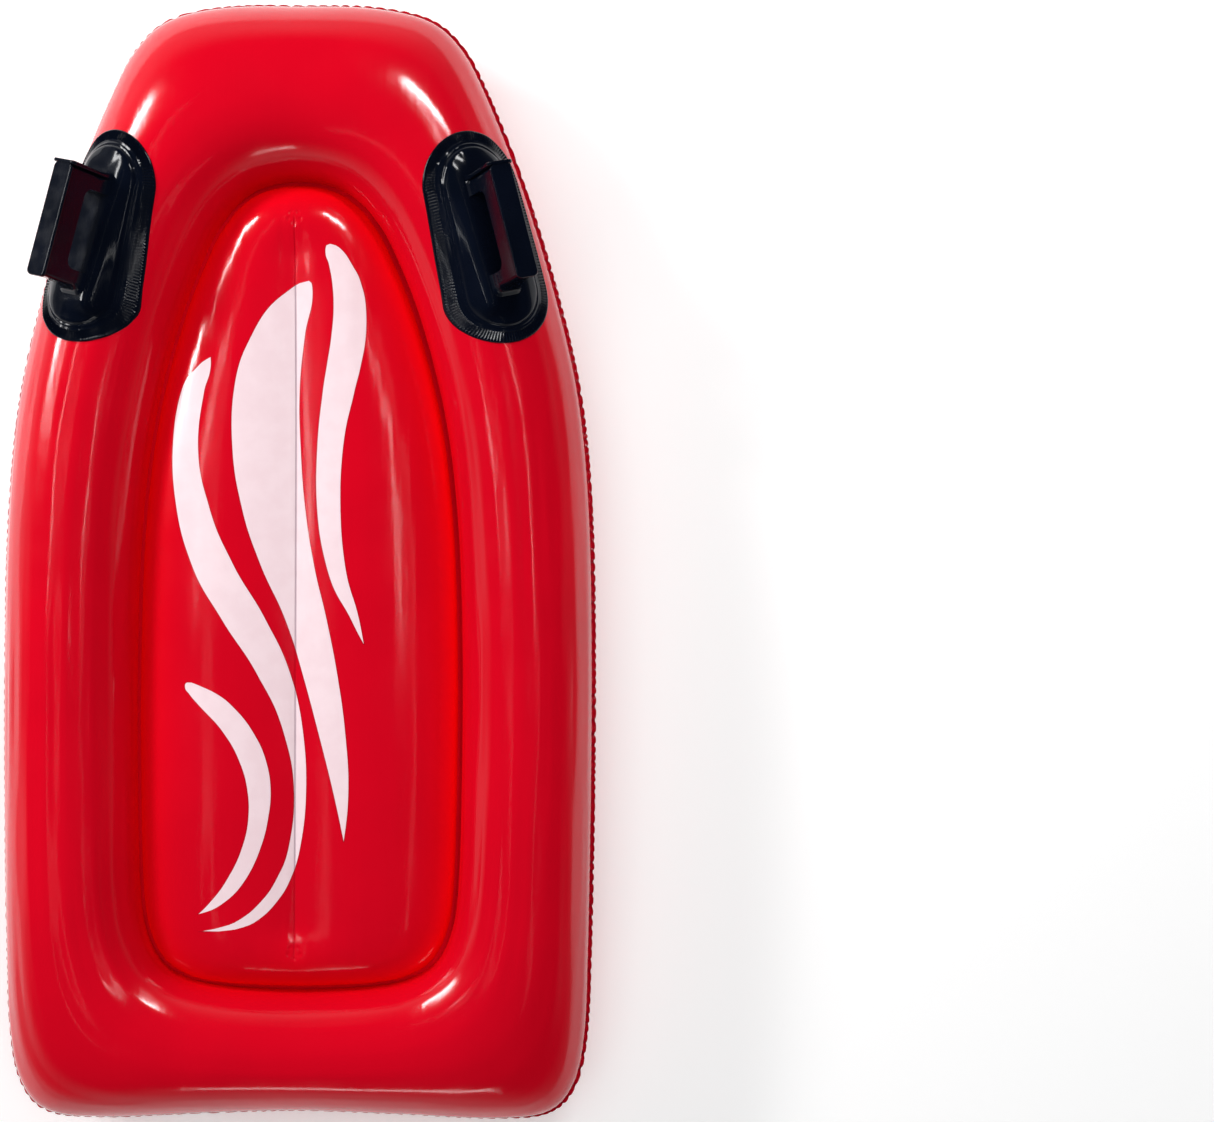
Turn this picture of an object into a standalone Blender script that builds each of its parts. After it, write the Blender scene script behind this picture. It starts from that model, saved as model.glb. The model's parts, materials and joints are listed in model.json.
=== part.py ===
"""An inflatable bodyboard: two welded PVC sheets, a centre web, two grab handles and two air valves.

Frame: +Z up, the nose towards +Y, X = 0 on the centre seam. The board lies flat on Z = 0, as it
lies on a floor, and the origin is on the floor under the middle of its outline. All sizes are in metres.
"""

import math

import bmesh
import bpy
from mathutils import Matrix, Vector
from mathutils.bvhtree import BVHTree

# Driving dimensions of the inflated board.
SIDE_HEIGHT = 0.118  # the ring chamber's thickness along the sides and the stern
NOSE_HEIGHT = 0.134  # and at the nose, where the chamber is widest
NOSE_SWELL_Y = (0.12, 0.42)  # the ring grows from its side height to its nose height between these
PAD_CREST = 0.034  # the pad's highest point above the welds, on each side
FILM = 0.0004  # the PVC film
GAP = 0.0003  # clearance between pieces that touch
LIP = 0.004  # the welded lip round the outline
LAND = 0.003  # width of the weld between ring and pad

# Facets of the sheets: columns per weld station, steps across the ring and steps across half the pad.
DECK_STEPS = (2, 10, 5)
HULL_STEPS = (2, 7, 5)
SMOOTH_STEPS = (8, 48, 24)  # the surface that the handles are fitted to

# Centre seam: the web pulls both sheets into a V along X = 0.
SEAM_Y = (-0.364, 0.308)
SEAM_DEPTH = 0.008
SEAM_HALF_WIDTH = 0.062
SEAM_FADE = 0.045
SPINE_SHARE = 0.80  # length of the pad's flat spine as a share of the pad's length
CREST_SHARE = 0.62  # where the pad has risen to its crest, from its weld (0) to its spine (1)
WEB_THICK = 0.0006
WEB_FLANGE = 0.010
WEB_INSET = 0.030  # from each end of the seam
WEB_STEPS = 20

# Weld stations from the nose to the stern on the +X side: a point of the outer weld and the point of
# the pad's weld that faces it.
STATIONS = (
    ((0.000, 0.495), (0.000, 0.338)),
    ((0.064, 0.494), (0.020, 0.336)),
    ((0.115, 0.483), (0.038, 0.330)),
    ((0.145, 0.457), (0.052, 0.320)),
    ((0.168, 0.413), (0.064, 0.307)),
    ((0.197, 0.340), (0.080, 0.281)),
    ((0.227, 0.245), (0.106, 0.216)),
    ((0.250, 0.145), (0.1285, 0.128)),
    ((0.260, 0.035), (0.1402, 0.028)),
    ((0.2625, -0.095), (0.144, -0.090)),
    ((0.262, -0.225), (0.1435, -0.205)),
    ((0.260, -0.345), (0.141, -0.290)),
    ((0.257, -0.420), (0.135, -0.330)),
    ((0.247, -0.466), (0.121, -0.357)),
    ((0.223, -0.491), (0.098, -0.3715)),
    ((0.172, -0.496), (0.070, -0.3775)),
    ((0.090, -0.492), (0.038, -0.380)),
    ((0.000, -0.489), (0.000, -0.381)),
)

# Handle: a moulded patch with a grip, the same on both sides.
HANDLE_AT = (0.174, 0.284)  # its centre on the deck, seen from above
HANDLE_TURN = 14.5  # degrees between the handle and the board's length
HANDLE_TILT = 27.0  # degrees between the grip and the vertical
PATCH_LENGTH, PATCH_WIDTH = 0.188, 0.092
PATCH_WALL = 0.0015
PATCH_CLEAR = 0.0014  # from the smooth deck, which the deck's facets stay inside
PATCH_BORDER = 0.0095
PATCH_RISE = 0.0030
PATCH_STEP = 0.0025  # width of the step from the border up to the raised middle
PATCH_ROWS = (0.0225, 0.033)  # how far in from its edge the raised middle's inner rows of points are
PLATEAU_SHARE = 0.6  # of PATCH_RISE: how high the grip's level seat is above the highest deck below it
SEAT_MARGIN = 0.002  # from the grip's sides to the edge of its seat
SEAT_FADE_SIDE = (0.003, 0.016)  # from the grip's sides, the seat blends into the patch between these
SEAT_FADE_END = (0.006, 0.020)  # and from its ends
GRIP_LENGTH, GRIP_WIDTH, GRIP_HEIGHT = 0.104, 0.024, 0.046
BAR_THICK = 0.023
LEG_THICK = 0.014
LIP_REACH, LIP_THICK = 0.003, 0.0035
FOOT_FLARE, FOOT_HEIGHT, FOOT_TAPER = 0.005, 0.008, 0.001
TAPER_TOP = 0.6  # the legs' outer faces taper up to this share of BAR_THICK below the top
ARCH_CHAMFER = 0.006
GRIP_ROUND = 0.0018

# Valves on the hull: the ring's, on the stern's rear wall, and the pad's.
VALVES = {"ring_valve": (-0.105, -0.4795, 180.0), "pad_valve": (0.066, -0.262, 0.0)}
VALVE_DISC_R = 0.020
VALVE_WALL = 0.0010
FUNNEL_WALL = 0.0012
MOUTH_R, THROAT_R, THROAT_DEPTH, THROAT_LENGTH = 0.0140, 0.0062, 0.010, 0.003
HOLE_R, HOLE_DEPTH = 0.0165, 0.016
STEM_R, BORE_R, STEM_LENGTH = 0.0058, 0.0039, 0.022
RIM_R, RIM_THICK, RIM_SUNK = 0.0072, 0.0016, 0.0030
PLUG_HEAD_THICK, PLUG_DEPTH = 0.0022, 0.0040
PLUG_TOP_R, PLUG_TIP_R, PLUG_CHAMFER = 0.0036, 0.0026, 0.0006
HINGE_REACH, HINGE_R = 0.0092, 0.0010
EAR_WIDTH, EAR_THICK = 0.0060, 0.0008
FLAP_THICK = 0.0006
ROUND_STEPS = 24
BARREL_STEPS = 12

PVC_RED = (0.80, 0.005, 0.030, 1.0)
VINYL_BLACK = (0.012, 0.013, 0.016, 1.0)
VALVE_CLEAR = (0.75, 0.78, 0.80, 1.0)


def clear_scene():
    for obj in list(bpy.data.objects):
        bpy.data.objects.remove(obj, do_unlink=True)


def new_collection(name):
    collection = bpy.data.collections.new(name)
    bpy.context.scene.collection.children.link(collection)
    return collection


def new_material(name, colour, roughness):
    material = bpy.data.materials.new(name)
    material.use_nodes = True
    shader = material.node_tree.nodes["Principled BSDF"]
    shader.inputs["Base Color"].default_value = colour
    shader.inputs["Roughness"].default_value = roughness
    shader.inputs["Metallic"].default_value = 0.0
    return material


def add_object(name, bm, material, collection, smooth_angle=35.0):
    """An object that holds the bmesh, shaded smooth below the angle."""
    mesh = bpy.data.meshes.new(name)
    bm.to_mesh(mesh)
    bm.free()
    mesh.shade_smooth()
    mesh.set_sharp_from_angle(angle=math.radians(smooth_angle))
    obj = bpy.data.objects.new(name, mesh)
    collection.objects.link(obj)
    obj.data.materials.append(material)
    return obj


def smoothstep(low, high, value):
    t = min(1.0, max(0.0, (value - low) / (high - low)))
    return t * t * (3.0 - 2.0 * t)


# The sheets


def closed_spline(points, t):
    """The point at t on the Catmull-Rom curve through a closed list of points."""
    count = len(points)
    k = int(math.floor(t))
    f = t - k
    p0, p1, p2, p3 = (points[(k + i) % count] for i in (-1, 0, 1, 2))
    return 0.5 * (
        2.0 * p1
        + (p2 - p0) * f
        + (2.0 * p0 - 5.0 * p1 + 4.0 * p2 - p3) * f * f
        + (3.0 * p1 - p0 - 3.0 * p2 + p3) * f * f * f
    )


def weld_loops(per_station):
    """Facing points of the outer weld and of the pad's weld, all the way round from the nose."""
    right = [(Vector(outer), Vector(crease)) for outer, crease in STATIONS]
    left = [tuple(Vector((-p.x, p.y)) for p in pair) for pair in right[-2:0:-1]]
    loop = right + left
    outer, crease = [pair[0] for pair in loop], [pair[1] for pair in loop]
    steps = [k / per_station for k in range(len(loop) * per_station)]
    return [(closed_spline(outer, t), closed_spline(crease, t)) for t in steps]


def half_height(y):
    """Half the ring's thickness at this distance along the board."""
    return 0.5 * (SIDE_HEIGHT + (NOSE_HEIGHT - SIDE_HEIGHT) * smoothstep(*NOSE_SWELL_Y, y))


def pad_rise(share, x, y):
    """The pad's height above its weld: an elliptical shoulder, then a V at the centre seam."""
    rise = 1.0
    if share < CREST_SHARE:
        rise = math.sqrt(max(0.0, 1.0 - (1.0 - share / CREST_SHARE) ** 2))
    near = max(0.0, 1.0 - abs(x) / SEAM_HALF_WIDTH) ** 2
    along = smoothstep(SEAM_Y[0], SEAM_Y[0] + SEAM_FADE, y)
    along *= 1.0 - smoothstep(SEAM_Y[1] - SEAM_FADE, SEAM_Y[1], y)
    return PAD_CREST * rise - SEAM_DEPTH * near * along


def sheet_column(outer, crease, ring_steps, pad_steps, side):
    """One line of points across a sheet, from lip to spine. side is 1 for the deck, -1 for the hull."""
    across = (outer - crease).normalized()
    inner = crease + across * LAND / 2
    middle, reach = (outer + inner) / 2, (outer - inner).length / 2
    weld = GAP / 2 + FILM
    level = half_height(middle.y)
    half = level - weld
    lip = outer + across * LIP
    column = [(lip.x, lip.y, level + side * weld)]
    # The polygon's flat middle strip reaches the full height, so its corners lie outside the ellipse.
    stretch = 1.0 if ring_steps % 2 == 0 else 1.0 / math.cos(math.pi / (2 * ring_steps))
    for k in range(ring_steps + 1):
        turn = math.pi * k / ring_steps
        point = middle + across * reach * math.cos(turn)
        column.append((point.x, point.y, level + side * (weld + half * stretch * math.sin(turn))))
    spine = Vector((0.0, crease.y * SPINE_SHARE))
    edge = crease + (spine - crease).normalized() * LAND / 2
    for k in range(pad_steps + 1):
        share = 1.0 - math.cos(0.5 * math.pi * k / pad_steps)
        point = edge.lerp(spine, share)
        rise = pad_rise(share, point.x, point.y)
        column.append((point.x, point.y, level + side * (weld + rise)))
    return column


def sheet_surface(side, per_station, ring_steps, pad_steps):
    """The sheet's outer face as an open bmesh whose normals point out of the board."""
    bm = bmesh.new()
    loops = weld_loops(per_station)
    columns = [
        [bm.verts.new(p) for p in sheet_column(outer, crease, ring_steps, pad_steps, side)]
        for outer, crease in loops
    ]
    for i, here in enumerate(columns):
        there = columns[(i + 1) % len(columns)]
        for j in range(len(here) - 1):
            corners = (here[j], here[j + 1], there[j + 1], there[j])
            bm.faces.new(corners if side < 0 else corners[::-1])
    bmesh.ops.remove_doubles(bm, verts=bm.verts, dist=1e-5)
    if sum(face.normal.z * face.calc_area() for face in bm.faces) * side < 0:
        bmesh.ops.reverse_faces(bm, faces=bm.faces)
    return bm


def make_sheet(name, side, steps, material, collection):
    sheet = add_object(name, sheet_surface(side, *steps), material, collection)
    film = sheet.modifiers.new("film", "SOLIDIFY")
    film.thickness = FILM
    film.offset = -1.0
    return sheet


def sheet_tree(side, *steps):
    """A search tree over the sheet's outer face, for what is placed on it."""
    bm = sheet_surface(side, *steps)
    tree = BVHTree.FromBMesh(bm)
    bm.free()
    return tree


def surface_frame(tree, x, y, side, turn=0.0, tilt=None):
    """A matrix on the sheet at x, y with local Z out of the board and local X along it.

    turn is the angle of local X from the board's length and tilt that of local Z from the vertical,
    both in degrees. With no tilt, Z is the sheet's normal.
    """
    hit, normal, _, _ = tree.ray_cast(Vector((x, y, side * 1.0)), Vector((0.0, 0.0, -side)))
    if normal.z * side < 0:
        normal = -normal
    heading = Vector((math.sin(math.radians(turn)), math.cos(math.radians(turn)), 0.0))
    if tilt is not None:
        normal = Matrix.Rotation(math.radians(tilt), 3, heading) @ Vector((0.0, 0.0, side))
    along = (heading - normal * heading.dot(normal)).normalized()
    across = normal.cross(along)
    frame = Matrix((along, across, normal)).transposed().to_4x4()
    frame.translation = hit
    return frame


def drop(tree, frame, x, y):
    """How far the sheet lies above the frame's plane at local x, y."""
    start = frame @ Vector((x, y, 0.1))
    hit, _, _, _ = tree.ray_cast(start, -frame.col[2].to_3d())
    return (frame.inverted() @ hit).z


# The centre web


def web_section(trees, y, reach):
    """The web's I-shaped outline at y, as (x, z), clear of both sheets for reach along the board."""
    flange, thick = WEB_FLANGE / 2, WEB_THICK / 2
    levels = []
    for side, tree in trees.items():
        heights = []
        for near in (y - reach, y, y + reach):
            for x in (0.0, flange):
                hit = tree.ray_cast(Vector((x, near, side * 1.0)), Vector((0.0, 0.0, -side)))[0]
                heights.append(hit.z * side)
        levels.append(side * (min(heights) - FILM - GAP))
    top, bottom = max(levels), min(levels)
    right = [
        (flange, top), (flange, top - WEB_THICK), (thick, top - WEB_THICK),
        (thick, bottom + WEB_THICK), (flange, bottom + WEB_THICK), (flange, bottom),
    ]
    return right + [(-x, z) for x, z in right[::-1]]


def make_web(name, trees, material, collection):
    """The strip inside the pad that ties both sheets together at the seam, with a flange at each edge."""
    start, end = SEAM_Y[0] + WEB_INSET, SEAM_Y[1] - WEB_INSET
    step = (end - start) / WEB_STEPS
    bm = bmesh.new()
    rings = []
    for k in range(WEB_STEPS + 1):
        y = start + k * step
        section = web_section(trees, y, step / 2)
        rings.append([bm.verts.new((x, y, z)) for x, z in section])
    for here, there in zip(rings, rings[1:]):
        for j in range(len(here)):
            k = (j + 1) % len(here)
            bm.faces.new((here[j], here[k], there[k], there[j]))
    bm.faces.new(rings[0])
    bm.faces.new(rings[-1])
    bmesh.ops.recalc_face_normals(bm, faces=bm.faces)
    return add_object(name, bm, material, collection)


# The handles


def stadium(length, width, arc_points, straight_points):
    """Points round a stadium that lies along X, from the start of its +X end. The count is even."""
    radius, half = width / 2, (length - width) / 2
    arc = [math.pi * (k / (arc_points - 1) - 0.5) for k in range(arc_points)]
    run = [half - 2 * half * (k + 1) / (straight_points + 1) for k in range(straight_points)]
    end = [(half + radius * math.cos(a), radius * math.sin(a)) for a in arc]
    side = [(x, radius) for x in run]
    return end + side + [(-x, -y) for x, y in end + side]


def plateau_height(tree, frame):
    """The level part of the patch's underside above the frame's plane: just clear of the deck below it."""
    half_length, half_width = GRIP_LENGTH / 2 + FOOT_FLARE, GRIP_WIDTH / 2 + SEAT_MARGIN
    spots = [(x, y) for x in (-half_length, 0.0, half_length) for y in (-half_width, 0.0, half_width)]
    return max(drop(tree, frame, x, y) for x, y in spots) + PATCH_RISE * PLATEAU_SHARE


def patch_height(tree, frame, plateau, x, y, lift):
    """The patch's underside above the frame's plane: on the deck, or raised, and level under the grip."""
    follow = drop(tree, frame, x, y) + PATCH_CLEAR + lift * PATCH_RISE
    level = 1.0 - smoothstep(*SEAT_FADE_SIDE, abs(y) - GRIP_WIDTH / 2)
    level *= 1.0 - smoothstep(*SEAT_FADE_END, abs(x) - GRIP_LENGTH / 2)
    return follow + (plateau - follow) * level * lift


def make_patch(name, tree, frame, plateau, material, collection):
    """The handle's base: a border that lies on the deck and a raised middle that carries the grip."""
    arc_points, straight_points = 12, 6
    count = 2 * (arc_points + straight_points)
    raised = [(inward, 1.0) for inward in (PATCH_BORDER + PATCH_STEP, *PATCH_ROWS)]
    rows = [(0.0, 0.0), (PATCH_BORDER, 0.0), *raised]
    bm = bmesh.new()
    rings = []
    for inward, lift in rows:
        outline = stadium(PATCH_LENGTH - 2 * inward, PATCH_WIDTH - 2 * inward, arc_points, straight_points)
        heights = [patch_height(tree, frame, plateau, x, y, lift) for x, y in outline]
        rings.append([bm.verts.new((x, y, z)) for (x, y), z in zip(outline, heights)])
    for here, there in zip(rings, rings[1:]):
        for j in range(count):
            k = (j + 1) % count
            bm.faces.new((here[j], here[k], there[k], there[j]))
    # The innermost ring is closed by quads from each point to the one across the width.
    last = rings[-1]
    for j in range(arc_points // 2, arc_points // 2 + count // 2 - 1):
        facing = (arc_points - 1 - j) % count
        bm.faces.new((last[j], last[j + 1], last[facing - 1], last[facing]))
    bmesh.ops.recalc_face_normals(bm, faces=bm.faces)
    if sum(face.normal.z for face in bm.faces) < 0:
        bmesh.ops.reverse_faces(bm, faces=bm.faces)
    bm.transform(frame)
    patch = add_object(name, bm, material, collection)
    wall = patch.modifiers.new("wall", "SOLIDIFY")
    wall.thickness = PATCH_WALL
    wall.offset = 1.0
    return patch


def make_grip(name, frame, base, material, collection):
    """A bridge over the fingers: a flat-topped bar with a lip at each end, on two legs with flared feet."""
    half, top = GRIP_LENGTH / 2, GRIP_HEIGHT
    outer, inner = half - LIP_REACH, half - LIP_REACH - LEG_THICK
    under = GRIP_HEIGHT - BAR_THICK
    right = [
        (inner - FOOT_FLARE, 0.0), (outer + FOOT_FLARE, 0.0), (outer + FOOT_TAPER, FOOT_HEIGHT),
        (outer, top - BAR_THICK * TAPER_TOP), (outer, top - LIP_THICK), (half, top - LIP_THICK), (half, top),
    ]
    left = [(-x, z) for x, z in reversed(right)]
    arch = [
        (-inner, FOOT_HEIGHT), (-inner, under - ARCH_CHAMFER), (-inner + ARCH_CHAMFER, under),
        (inner - ARCH_CHAMFER, under), (inner, under - ARCH_CHAMFER), (inner, FOOT_HEIGHT),
    ]
    outline = right + left + arch
    bm = bmesh.new()
    corners = [bm.verts.new((x, -GRIP_WIDTH / 2, z)) for x, z in outline]
    side = bm.faces.new(corners)
    moved = bmesh.ops.extrude_face_region(bm, geom=[side])["geom"]
    far = [item for item in moved if isinstance(item, bmesh.types.BMVert)]
    bmesh.ops.translate(bm, verts=far, vec=(0.0, GRIP_WIDTH, 0.0))
    bmesh.ops.recalc_face_normals(bm, faces=bm.faces)
    bm.transform(frame @ Matrix.Translation((0.0, 0.0, base)))
    grip = add_object(name, bm, material, collection)
    rounding = grip.modifiers.new("rounding", "BEVEL")
    rounding.width = GRIP_ROUND
    rounding.segments = 2
    rounding.limit_method = "ANGLE"
    rounding.angle_limit = math.radians(50.0)
    return grip


# The valves


def turned(name, profile, frame, material, collection, ring=False):
    """A shape turned round the frame's Z axis from (radius, height) points, which run down its outer side."""
    mesh = bpy.data.meshes.new(name)
    edges = [(k, k + 1) for k in range(len(profile) - 1)]
    if ring:
        edges.append((len(profile) - 1, 0))
    mesh.from_pydata([(radius, 0.0, height) for radius, height in profile], edges, [])
    mesh.materials.append(material)
    obj = bpy.data.objects.new(name, mesh)
    collection.objects.link(obj)
    obj.matrix_world = frame
    screw = obj.modifiers.new("turn", "SCREW")
    screw.steps = ROUND_STEPS
    screw.render_steps = ROUND_STEPS
    screw.use_merge_vertices = True
    screw.merge_threshold = 1e-6
    return obj


def helper(name, bm, frame, collection):
    """A hidden mesh that a Boolean reads."""
    mesh = bpy.data.meshes.new(name)
    bm.to_mesh(mesh)
    bm.free()
    obj = bpy.data.objects.new(name, mesh)
    collection.objects.link(obj)
    obj.matrix_world = frame
    obj.display_type = "WIRE"
    obj.hide_render = True
    return obj


def add_boolean(obj, operand, operation):
    boolean = obj.modifiers.new(operand.name, "BOOLEAN")
    boolean.operation = operation
    boolean.object = operand


def add_pivot(name, frame, offset, collection, child):
    """An empty at an offset in the frame, as the child's joint, with local Y as the joint's axis."""
    pivot = bpy.data.objects.new(name, None)
    pivot.empty_display_size = 0.01
    pivot.matrix_world = frame @ Matrix.Translation(offset)
    collection.objects.link(pivot)
    child.parent = pivot
    child.matrix_parent_inverse = pivot.matrix_world.inverted()


def valve_hole(name, frame, cutters):
    bm = bmesh.new()
    bmesh.ops.create_cone(
        bm, cap_ends=True, segments=ROUND_STEPS, radius1=HOLE_R, radius2=HOLE_R, depth=HOLE_DEPTH
    )
    return helper(name, bm, frame, cutters)


def make_valve_base(name, frame, material, collection):
    """The disc that is welded on the film, with a funnel down to the throat that guides the stem."""
    profile = [
        (MOUTH_R, 0.0),
        (VALVE_DISC_R, 0.0),
        (VALVE_DISC_R, -VALVE_WALL),
        (MOUTH_R + FUNNEL_WALL, -VALVE_WALL),
        (THROAT_R + FUNNEL_WALL, -THROAT_DEPTH),
        (THROAT_R + FUNNEL_WALL, -THROAT_DEPTH - THROAT_LENGTH),
        (THROAT_R, -THROAT_DEPTH - THROAT_LENGTH),
        (THROAT_R, -THROAT_DEPTH),
    ]
    return turned(name, profile, frame, material, collection, ring=True)


def make_stem(name, frame, material, collection):
    """The tube that is blown into. It slides along the frame's Z."""
    profile = [
        (BORE_R, -RIM_SUNK),
        (RIM_R, -RIM_SUNK),
        (RIM_R, -RIM_SUNK - RIM_THICK),
        (STEM_R, -RIM_SUNK - RIM_THICK),
        (STEM_R, -RIM_SUNK - STEM_LENGTH),
        (BORE_R, -RIM_SUNK - STEM_LENGTH),
    ]
    return turned(name, profile, frame, material, collection, ring=True)


def make_plug(name, frame, material, collection, cutters):
    """The stopper, which swings on an ear at +X. Its underside is a gap above the stem's rim."""
    seat = frame @ Matrix.Translation((0.0, 0.0, -RIM_SUNK + GAP))
    profile = [
        (0.0, PLUG_HEAD_THICK),
        (RIM_R - PLUG_CHAMFER, PLUG_HEAD_THICK),
        (RIM_R, PLUG_HEAD_THICK - PLUG_CHAMFER),
        (RIM_R, 0.0),
        (PLUG_TOP_R, 0.0),
        (PLUG_TIP_R, -PLUG_DEPTH),
        (0.0, -PLUG_DEPTH),
    ]
    plug = turned(name, profile, seat, material, collection)
    ear = bmesh.new()
    bmesh.ops.create_cube(ear, size=1.0)
    bmesh.ops.scale(ear, vec=(HINGE_REACH - PLUG_TOP_R, EAR_WIDTH, EAR_THICK), verts=ear.verts)
    bmesh.ops.translate(ear, vec=((HINGE_REACH + PLUG_TOP_R) / 2, 0.0, HINGE_R), verts=ear.verts)
    add_boolean(plug, helper(name + "_ear", ear, seat, cutters), "UNION")
    barrel = bmesh.new()
    lying = Matrix.Translation((HINGE_REACH, 0.0, HINGE_R)) @ Matrix.Rotation(math.radians(90.0), 4, "X")
    bmesh.ops.create_cone(
        barrel, cap_ends=True, segments=BARREL_STEPS, radius1=HINGE_R, radius2=HINGE_R,
        depth=EAR_WIDTH + EAR_THICK, matrix=lying,
    )
    add_boolean(plug, helper(name + "_barrel", barrel, seat, cutters), "UNION")
    add_pivot(name + "_pivot", seat, (HINGE_REACH, 0.0, HINGE_R), cutters, plug)
    return plug


def make_flap(name, frame, material, collection, cutters):
    """The one-way flap at the stem's inner end. Its hinge is the edge of the disc at +X."""
    top = -RIM_SUNK - STEM_LENGTH - GAP
    profile = [
        (0.0, top),
        (STEM_R, top),
        (STEM_R, top - FLAP_THICK),
        (0.0, top - FLAP_THICK),
    ]
    flap = turned(name, profile, frame, material, collection)
    add_pivot(name + "_pivot", frame, (STEM_R, 0.0, top), cutters, flap)
    return flap


def make_valve(name, tree, hull, material, collection, cutters):
    x, y, turn = VALVES[name]
    on_film = surface_frame(tree, x, y, -1, turn=turn)
    add_boolean(hull, valve_hole(name + "_hole", on_film, cutters), "DIFFERENCE")
    frame = on_film @ Matrix.Translation((0.0, 0.0, VALVE_WALL + 2 * GAP))
    make_valve_base(name + "_base", frame, material, collection)
    make_stem(name + "_stem", frame, material, collection)
    make_plug(name + "_plug", frame, material, collection, cutters)
    make_flap(name + "_flap", frame, material, collection, cutters)


def main():
    clear_scene()
    board = new_collection("bodyboard")
    cutters = new_collection("cutters")
    red = new_material("pvc_red", PVC_RED, 0.12)
    black = new_material("vinyl_black", VINYL_BLACK, 0.10)
    clear = new_material("valve_clear", VALVE_CLEAR, 0.25)

    deck = make_sheet("deck_sheet", 1, DECK_STEPS, red, board)
    hull = make_sheet("hull_sheet", -1, HULL_STEPS, red, board)
    deck_tree = sheet_tree(1, *DECK_STEPS)
    hull_tree = sheet_tree(-1, *HULL_STEPS)
    make_web("centre_web", {1: deck_tree, -1: hull_tree}, red, board)

    smooth_tree = sheet_tree(1, *SMOOTH_STEPS)
    for word, side in (("left", -1), ("right", 1)):
        x, y = HANDLE_AT
        frame = surface_frame(smooth_tree, side * x, y, 1, -side * HANDLE_TURN, side * HANDLE_TILT)
        plateau = plateau_height(smooth_tree, frame)
        make_patch(f"{word}_handle_patch", smooth_tree, frame, plateau, black, board)
        make_grip(f"{word}_handle_grip", frame, plateau + PATCH_WALL + GAP, black, board)

    for name in VALVES:
        make_valve(name, hull_tree, hull, clear, board, cutters)


main()
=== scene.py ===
"""The looks of the inflatable bodyboard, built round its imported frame.

Frame: metres, +Z up, the nose towards +Y, X = 0 on the centre seam, Z = 0 on the floor.
"""

import json
import math

import bmesh
import bpy
import numpy as np
from mathutils import Matrix, Vector
from mathutils.bvhtree import BVHTree


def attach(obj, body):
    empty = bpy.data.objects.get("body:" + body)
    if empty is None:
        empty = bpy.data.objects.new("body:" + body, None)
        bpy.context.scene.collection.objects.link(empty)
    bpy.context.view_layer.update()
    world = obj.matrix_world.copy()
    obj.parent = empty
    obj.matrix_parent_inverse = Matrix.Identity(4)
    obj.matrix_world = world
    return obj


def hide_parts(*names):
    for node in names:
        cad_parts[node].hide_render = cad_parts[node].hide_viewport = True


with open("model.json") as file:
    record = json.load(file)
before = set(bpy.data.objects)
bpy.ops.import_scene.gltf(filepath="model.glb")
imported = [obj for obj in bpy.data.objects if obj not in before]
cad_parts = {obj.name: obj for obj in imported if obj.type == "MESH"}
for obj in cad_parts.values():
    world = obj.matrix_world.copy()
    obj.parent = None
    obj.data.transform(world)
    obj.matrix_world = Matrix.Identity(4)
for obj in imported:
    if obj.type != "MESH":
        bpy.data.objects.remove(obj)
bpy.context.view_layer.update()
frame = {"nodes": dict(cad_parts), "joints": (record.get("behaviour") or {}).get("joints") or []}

SEED = 11

# The board's shape, as in the CAD.
SIDE_HEIGHT, NOSE_HEIGHT = 0.118, 0.134
NOSE_SWELL_Y = (0.12, 0.42)
PAD_CREST = 0.034
FILM, GAP = 0.0004, 0.0003
LIP, LAND = 0.0032, 0.003
SEAM_Y = (-0.364, 0.308)
SEAM_DEPTH, SEAM_HALF_WIDTH, SEAM_FADE = 0.008, 0.062, 0.045
SPINE_SHARE, CREST_SHARE = 0.80, 0.62
STATIONS = (
    ((0.000, 0.495), (0.000, 0.338)),
    ((0.064, 0.494), (0.020, 0.336)),
    ((0.115, 0.483), (0.038, 0.330)),
    ((0.145, 0.457), (0.052, 0.320)),
    ((0.168, 0.413), (0.064, 0.307)),
    ((0.197, 0.340), (0.080, 0.281)),
    ((0.227, 0.245), (0.106, 0.216)),
    ((0.250, 0.145), (0.1285, 0.128)),
    ((0.260, 0.035), (0.1402, 0.028)),
    ((0.2625, -0.095), (0.144, -0.090)),
    ((0.262, -0.225), (0.1435, -0.205)),
    ((0.260, -0.345), (0.141, -0.290)),
    ((0.257, -0.420), (0.135, -0.330)),
    ((0.247, -0.466), (0.121, -0.357)),
    ((0.223, -0.491), (0.098, -0.3715)),
    ((0.172, -0.496), (0.070, -0.3775)),
    ((0.090, -0.492), (0.038, -0.380)),
    ((0.000, -0.489), (0.000, -0.381)),
)

# The films' grids: columns round the board, and rows across it.
COLUMNS = 720
LIP_COLUMNS = 2 * COLUMNS  # near the puckered weld
INNER_COLUMNS = COLUMNS // 2
LIP_ROWS, RING_ROWS, PAD_ROWS = 3, 60, 34
DENSE_TURN = 0.36  # radians round the ring from the outer weld that keep the weld's columns
WELD_RISE = 0.00002  # from the weld plane to each film's inner face, so that the two look fused
INNER_INSET = 0.0020  # the film's hidden inner face is drawn this far inside the outer one
INNER_RING_ROWS = 16
INNER_PAD_SHARES = (0.02, 0.06, 0.12, 0.22, 0.36, 0.52, 0.7, 0.85)

# Puckers along the outer weld, and the film's long ripples.
PUCKER_PITCH = 0.0095
PUCKER_DEPTH, PUCKER_REACH = 0.0011, 0.011
PUCKER_INWARD = 0.0018  # how far a pucker draws the lip's edge in
LIP_WAVE = 0.0005
# how far from each crease the painted glow reaches
CREASE_GLOW = 0.015
RIPPLE_LENGTHS = (0.007, 0.024)  # across the ripples
RING_RIPPLE, PAD_RIPPLE = 0.00036, 0.00020

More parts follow.
